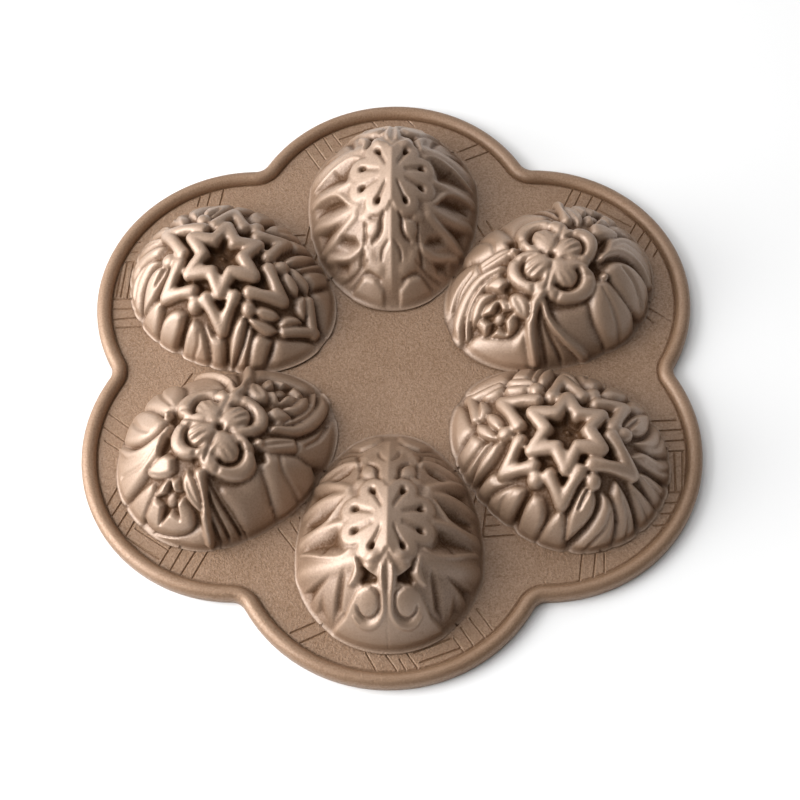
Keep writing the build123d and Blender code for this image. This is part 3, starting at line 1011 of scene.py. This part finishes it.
# %% [markdown]
# ## The cups
# The carving is blurred a little, as the coat blurs it on the real thing, and then pushes the
# skin outwards. A small hollow fillet joins it to the deck. The foot below the deck's face is
# plain, so it fills the hole in the deck. The inside is the same egg one wall further in, and
# carries the same carving the other way round, because that is what shapes the cake.

# %% Skins of a cup
OUTER_COUNT = 170
INNER_COUNT = 90
foot_share = 0.3
foot_fade = 4.0
fillet_reach = 1.3
fillet_fade = 0.8
inside_share = 0.85
# How much ridges and creases are sharpened for the worn raised work and the painted shade
wear_and_shade_gain = 1.3
wear_and_shade_passes = 14


def blurred(heights, passes):
    """Each height shared out over its neighbours on the sheet."""
    for turned in range(passes):
        wide = np.pad(heights, 1, mode="edge")
        beside = wide[:-2, 1:-1] + wide[2:, 1:-1] + wide[1:-1, :-2] + wide[1:-1, 2:]
        heights = (4 * heights + 2 * beside
                   + wide[:-2, :-2] + wide[2:, 2:] + wide[:-2, 2:] + wide[2:, :-2]) / 16
    return heights


def wear_and_shade_mask(carving):
    """What the finish follows: the carving with ridges and creases sharpened, for wear on the ridges
    and painted shade in the creases.
    """
    return (carving + wear_and_shade_gain * (carving - blurred(carving, wear_and_shade_passes))).ravel()


def outer_skin(height, fullness, ornament):
    """The plain outside, the carved one, and the carving."""
    plain = half_egg(OUTER_COUNT, height, fullness, 0.0, deck_top)
    carving = blurred(ornament(plain[..., 0], plain[..., 1]), 1)
    rise = plain[..., 2] - deck_top
    carving *= foot_share + (1 - foot_share) * eased(rise / foot_fade)
    fillet = fillet_reach * np.exp(-rise / fillet_fade)
    skin = plain + outward(plain) * (carving + fillet)[..., None]
    skin[..., 2] = np.maximum(skin[..., 2], deck_top)
    return plain, skin, carving


def inner_skin(height, fullness, ornament):
    """The carved inside, and its carving."""
    plain = half_egg(INNER_COUNT, height, fullness, -wall, 0.0)
    x = plain[..., 0] * (blunt_length / (blunt_length - wall))
    y = plain[..., 1] * (half_width / (half_width - wall))
    carving = blurred(ornament(x, y), 2) * inside_share
    carving *= eased(plain[..., 2] / foot_fade)
    return plain + outward(plain) * carving[..., None], carving


print("corners of the two skins:", (OUTER_COUNT + 1) ** 2, (INNER_COUNT + 1) ** 2)

# %% Faces of a cup, and the three cups
foot_gap = 0.05


def quads(count, start):
    """Faces of a square sheet whose corners are numbered from there."""
    number = start + np.arange((count + 1) ** 2).reshape(count + 1, count + 1)
    corners = [number[:-1, :-1], number[1:, :-1], number[1:, 1:], number[:-1, 1:]]
    return np.stack(corners, axis=-1).reshape(-1, 4)


def flat_ring(edge, inner_edge):
    """Faces underneath, between two edges with different numbers of corners."""
    ring = []
    turn_now = 0
    for step in range(len(edge)):
        turn_next = (step + 1) * len(inner_edge) // len(edge)
        face = [edge[step], edge[(step + 1) % len(edge)]]
        if turn_next > turn_now:
            face.append(inner_edge[turn_next % len(inner_edge)])
        face.append(inner_edge[turn_now % len(inner_edge)])
        ring.append([int(number) for number in face])
        turn_now = turn_next
    return ring


def cup_shape(height, fullness, ornament):
    """Corners, faces, which of them are smooth, and the wear and painted shade of one cup in its own
    place.
    """
    plain, skin, carving = outer_skin(height, fullness, ornament)
    inner, inner_carving = inner_skin(height, fullness, ornament)
    edge = outer_edge(OUTER_COUNT)
    inner_start = (OUTER_COUNT + 1) ** 2
    top = inner_start + (INNER_COUNT + 1) ** 2 + np.arange(len(edge))
    low = top + len(edge)
    foot = plain.reshape(-1, 3)[edge] * [1, 1, 0]
    corners = np.vstack([skin.reshape(-1, 3), inner.reshape(-1, 3),
                         foot + [0, 0, deck_top - foot_gap], foot])
    skins = quads(OUTER_COUNT, 0).tolist() + quads(INNER_COUNT, inner_start)[:, ::-1].tolist()
    flats = (band(edge, top) + band(top, low)
             + flat_ring(low, inner_start + outer_edge(INNER_COUNT)))
    smooth = [True] * len(skins) + [False] * len(flats)
    # Wear and painted shade for the finish; the flat faces underneath get none
    tone_and_painted_shade = np.concatenate([wear_and_shade_mask(carving), wear_and_shade_mask(inner_carving), np.zeros(2 * len(edge))])
    return corners, skins + flats, smooth, tone_and_painted_shade


# Height, fullness across, and ornament
shapes = {
    "rosette": cup_shape(33.45, 1.55, rosette),
    "star": cup_shape(30.6, 1.6, star),
    "blossom": cup_shape(30.4, 1.7, blossom),
}
for name, (corners, faces, smooth, tone_and_painted_shade) in shapes.items():
    print(name, "wear from", round(float(tone_and_painted_shade.min()), 1), "to", round(float(tone_and_painted_shade.max()), 1))

# %% Put each cup in its place
ring_distance = 81.006
# Piece, ornament, bearing, and how far it is moved outwards and turned
places = (
    ("rosette_cup_rear", "rosette", 90.0, 0.0, 0.0),
    ("rosette_cup_front", "rosette", 270.0, 0.0, 0.0),
    ("star_cup_rear_left", "star", 150.0, 2.0, -3.0),
    ("star_cup_front_right", "star", 330.0, 2.0, -3.0),
    ("blossom_cup_rear_right", "blossom", 30.0, 0.5, 0.0),
    ("blossom_cup_front_left", "blossom", 210.0, 0.5, 0.0),
)


def placed(points, bearing, outset, twist):
    """Points of a cup's own plan, moved to its place on the deck."""
    turned = np.radians(bearing + twist)
    x = points[:, 0] * np.cos(turned) - points[:, 1] * np.sin(turned)
    y = points[:, 0] * np.sin(turned) + points[:, 1] * np.cos(turned)
    return np.column_stack([*around(x, y, ring_distance + outset, bearing), *points.T[2:]])


for name, ornament, *place in places:
    corners, faces, smooth, tone_and_painted_shade = shapes[ornament]
    piece(name, placed(corners, *place), faces, smooth, cup_coat, tone_and_painted_shade)

# %% [markdown]
# ## The deck
# The deck is flat apart from fine lines, cut in small patches like laid parquet round the edge
# and between the cups. They are real grooves: each is drawn into the face as a narrow kite with
# a line down its middle, and the corners on that line are pressed in. A constrained
# triangulation finds faces that respect all of these lines at once.

# %% Lines of the parquet
parquet = [
    (-113, -18, -102, -26), (-115, -23.5, -104, -31.5), (-113.5, -30, -105.5, -35.4),
    (-106, -50, -110.3, -59.5), (-103.3, -55, -108.5, -64.5), (-100.2, -58.3, -105.5, -68.5),
    (-97.5, -62.8, -102, -72.3), (-98.5, -67.5, -84, -77), (-101.5, -71.5, -87.5, -80.5),
    (-83, -74, -88.2, -84), (-78.5, -75, -84, -86.5), (-73, -75, -79.5, -87.5),
    (-68.5, -75.5, -75.3, -89.3), (-37, -110, -27, -105.5), (-33.5, -114, -23, -109),
    (-8.5, -117, -4, -125), (-43, -67.5, -35.5, -77.5), (-38.5, -64.5, -33.5, -72.5),
    (-35, -62.5, -33, -67), (-40, -59.2, -29, -56), (-36, -53, -27, -50.5),
    (6.7, -117.2, 11.7, -124.5), (-1, -118, 4.5, -126), (4, -119.5, 7.4, -125.4),
    (9, -117.6, 23.5, -111.7), (11.3, -121.3, 27.2, -115.4), (24, -111.3, 28.4, -117.6),
    (26.7, -107.2, 32, -115.4), (29.9, -103.5, 36.3, -112.2), (32.6, -99.9, 39, -109),
    (73.5, -76.7, 71.7, -89.5), (78.4, -77.6, 77, -88), (81.7, -77.6, 81.3, -86.3),
    (102.2, -22.2, 113, -21.7), (103.5, -26.5, 115, -25.8), (106.7, -31, 115.4, -30.4),
    (107.2, -35.4, 115, -35), (108, -35.8, 107.5, -52.6), (110.8, -35.4, 110.2, -52.6),
    (114, -35.4, 113, -52), (105.4, -53, 113, -52.6), (105, -57.2, 112, -57),
    (103.5, -61.8, 110, -61.5), (100.4, -66.7, 106.7, -66.3), (34, -52.6, 32, -58.5),
    (37.2, -58.5, 35.4, -71.6), (36.7, -62.2, 41.7, -62), (35.8, -67, 42.6, -66.3),
    (35.4, -71.3, 48.5, -70.4), (-26.5, 118.2, -11.5, 125), (-24.2, 114, -8.7, 120.5),
    (-27, 117.3, -22.8, 111), (-31.5, 116.8, -26.5, 107.7), (-36, 114, -29.2, 103.2),
    (-39.2, 110.5, -31.5, 98.2), (-11.3, 126, -7.4, 120.5), (-6.5, 126.8, -4, 123.2),
    (-82, 86.8, -83.3, 79.5), (-77.8, 88.2, -79.2, 80), (-72.4, 89.3, -74.2, 78.2),
    (-111.5, 61.8, -105.5, 62.3), (-113.3, 57.1, -106.5, 57.5), (-113.7, 52.3, -107.4, 52.7),
    (-113, 52.3, -114.2, 35), (-111, 52.3, -112.4, 35), (-108.3, 52.3, -109.6, 34.5),
    (-116, 34.4, -107.4, 34.5), (-116, 29.7, -106.5, 30), (-115.5, 24.7, -103.7, 25.9),
    (-113.7, 20.9, -101, 21.5), (-42.4, 65, -36.5, 65.3), (-40, 60.2, -36.5, 60.5),
    (-35, 70, -37, 58.2), (-31, 57.3, -32.8, 51.4), (4, 126.4, 9, 120.5), (28, 107.3, 37.6, 111.8),
    (30.4, 102.7, 41.7, 107.7), (70.8, 75.9, 76.7, 88.6), (75, 75.9, 80.4, 87.7),
    (80.2, 75.9, 85.4, 85.9), (84.5, 74.7, 89.5, 84), (88.5, 81.4, 102.6, 72.3),
    (85.4, 77.7, 100, 68.5), (103, 72.3, 98.5, 63.6), (106.3, 68.2, 101.7, 60.5),
    (109, 64.5, 104.5, 56), (112.2, 60.9, 108, 53.6), (102.2, 31, 115.4, 21.8),
    (102.6, 26, 106.7, 22), (34.5, 70.9, 39, 62.3), (39, 72.3, 43, 65), (35.8, 61.6, 43.5, 65),
    (30.4, 54.1, 39.5, 58.2), (30.4, 49, 37.6, 52.3), (-86, -10, -80, 0), (-79.5, -9, -76, -3),
    (-66.3, 3.2, -59.7, -1.3), (55, 1.9, 60.7, -2.8),
]
print(len(parquet), "cut lines")

# %% Plan of the deck, with its holes and lines
cut_half_width = 0.48
cut_depth = 0.5
cut_end = 0.5
hole_sides = 120
edge_dip_width = 0.9
weld_distance = 1e-5
# Sides of a kite, and then the line down its middle
kite = ((0, 1), (1, 2), (2, 3), (3, 4), (4, 5), (5, 0), (0, 6), (6, 7), (7, 3))

bearings = np.linspace(0.0, 2 * np.pi, hole_sides, endpoint=False)
egg_line = np.column_stack([
    np.where(np.cos(bearings) > 0, blunt_length, pointed_length) * np.cos(bearings),
    half_width * np.sin(bearings)])
holes = [placed(egg_line, *place) for name, ornament, *place in places]
edge_line = flower(bead_width)
dip_line = flower(bead_width + edge_dip_width)

plan = []
lines = []
for points in (edge_line, dip_line, *holes):
    start = len(plan)
    plan.extend(points.tolist())
    lines.extend((start + number, start + (number + 1) % len(points))
                 for number in range(len(points)))
bottoms = []
for numbers in parquet:
    start, end = np.array(numbers).reshape(2, 2)
    forward = (end - start) / np.linalg.norm(end - start)
    sideways = np.array([-forward[1], forward[0]]) * cut_half_width
    first = start + forward * cut_end
    last = end - forward * cut_end
    number = len(plan)
    plan.extend(point.tolist() for point in (start, first + sideways, last + sideways, end,
                                             last - sideways, first - sideways, first, last))
    lines.extend((number + a, number + b) for a, b in kite)
    bottoms.append((first, last))
corners = [Vector(point) for point in plan]
triangulated = delaunay_2d_cdt(corners, lines, [], 0, weld_distance)
flat = np.array([tuple(point) for point in triangulated[0]])
print(len(flat), "corners on the face of the deck")


# %% Deck with its holes, grooves and underside
def closed(line):
    """The line with its first point once more at its end."""
    return np.vstack([line, line[:1]])


middles = Plan(*np.array([flat[list(face)].mean(axis=0) for face in triangulated[2]]).T)
kept = middles.within(closed(edge_line))
for hole in holes:
    kept &= ~middles.within(closed(hole))
top_faces = [tuple(face) for face, keep in zip(triangulated[2], kept) if keep]

field = Plan(*flat.T)
depth = np.zeros(len(flat))
for bottom in bottoms:
    share = field.stroke(bottom, cut_half_width, straight=True)
    depth = np.maximum(depth, cut_depth * np.clip(1 - share, 0.0, 1.0))
edge_distance = field.nearest(closed(edge_line))[0]
edge_dip = (deck_top - crease_height) * np.clip(1 - edge_distance / edge_dip_width, 0.0, 1.0)
depth = np.maximum(depth, edge_dip)

# The same plan, turned over, closes the deck underneath, and walls join the two
count = len(flat)
underside = np.column_stack([flat, np.zeros(count)])
corners = np.vstack([np.column_stack([flat, deck_top - depth]), underside])
under_faces = [tuple(count + number for number in reversed(face)) for face in top_faces]
sides = [side for face in top_faces for side in zip(face, face[1:] + face[:1])]
known = set(sides)
wall_faces = [(b, a, count + a, count + b) for a, b in sides if (b, a) not in known]
faces = top_faces + under_faces + wall_faces
piece("deck_plate", corners, faces, [False] * len(faces), deck_coat)

# %% [markdown]
# ## Floor and light
# The pan lies on plain white, so the background is white by its own colour and still shows the
# soft shadow at the right. The light is a very wide soft lamp at the left, a weaker one at the
# back, and a little from everywhere. A near softbox at the left adds the fall of light from left
# to right.

# %% Floor, lamps and sky
PAPER = (0.90, 0.90, 0.90, 1.0)
WHITE = (1.0, 1.0, 1.0, 1.0)
floor_reach = 30.0
sky_strength = 0.2

floor_mesh = bpy.data.meshes.new("floor")
floor_mesh.from_pydata([(x * floor_reach, y * floor_reach, 0.0)
                        for x, y in ((-1, -1), (1, -1), (1, 1), (-1, 1))], [], [(0, 1, 2, 3)])
floor = shown("floor", floor_mesh)
paper = Recipe("floor_paper")
paper.feed(paper.shader, {"Base Color": PAPER, "Roughness": 0.9, "Specular IOR Level": 0.0})
floor_mesh.materials.append(paper.material)


def lamp(name, kind, energy, stand):
    """Lamp that shines on the middle of the pan from where it stands."""
    light = bpy.data.lights.new(name, kind)
    light.energy = energy
    made = shown(name, light)
    made.location = stand
    made.rotation_euler = Vector(stand).to_track_quat("Z", "Y").to_euler()
    made.visible_camera = False
    return light


lamp("left_sky", "SUN", energy=2.75, stand=(-1.0, 0.2, 0.66)).angle = np.radians(90.0)
lamp("back_sky", "SUN", energy=0.6, stand=(0.35, 0.9, 0.9)).angle = np.radians(60.0)
lamp("softbox", "AREA", energy=7.0, stand=(-0.62, -0.1, 0.34)).size = 0.55

world = bpy.data.worlds.new("studio")
bpy.context.scene.world = world
world.use_nodes = True
sky = world.node_tree.nodes["Background"]
sky.inputs["Color"].default_value = WHITE
sky.inputs["Strength"].default_value = sky_strength
bpy.context.scene.view_settings.view_transform = "Standard"
print(len(bpy.data.lights), "lamps")

# %% [markdown]
# ## The end
# The scene is brought up to date. The dressed pan has to stay within the box of the CAD
# model.

# %% The end
bpy.context.view_layer.update()
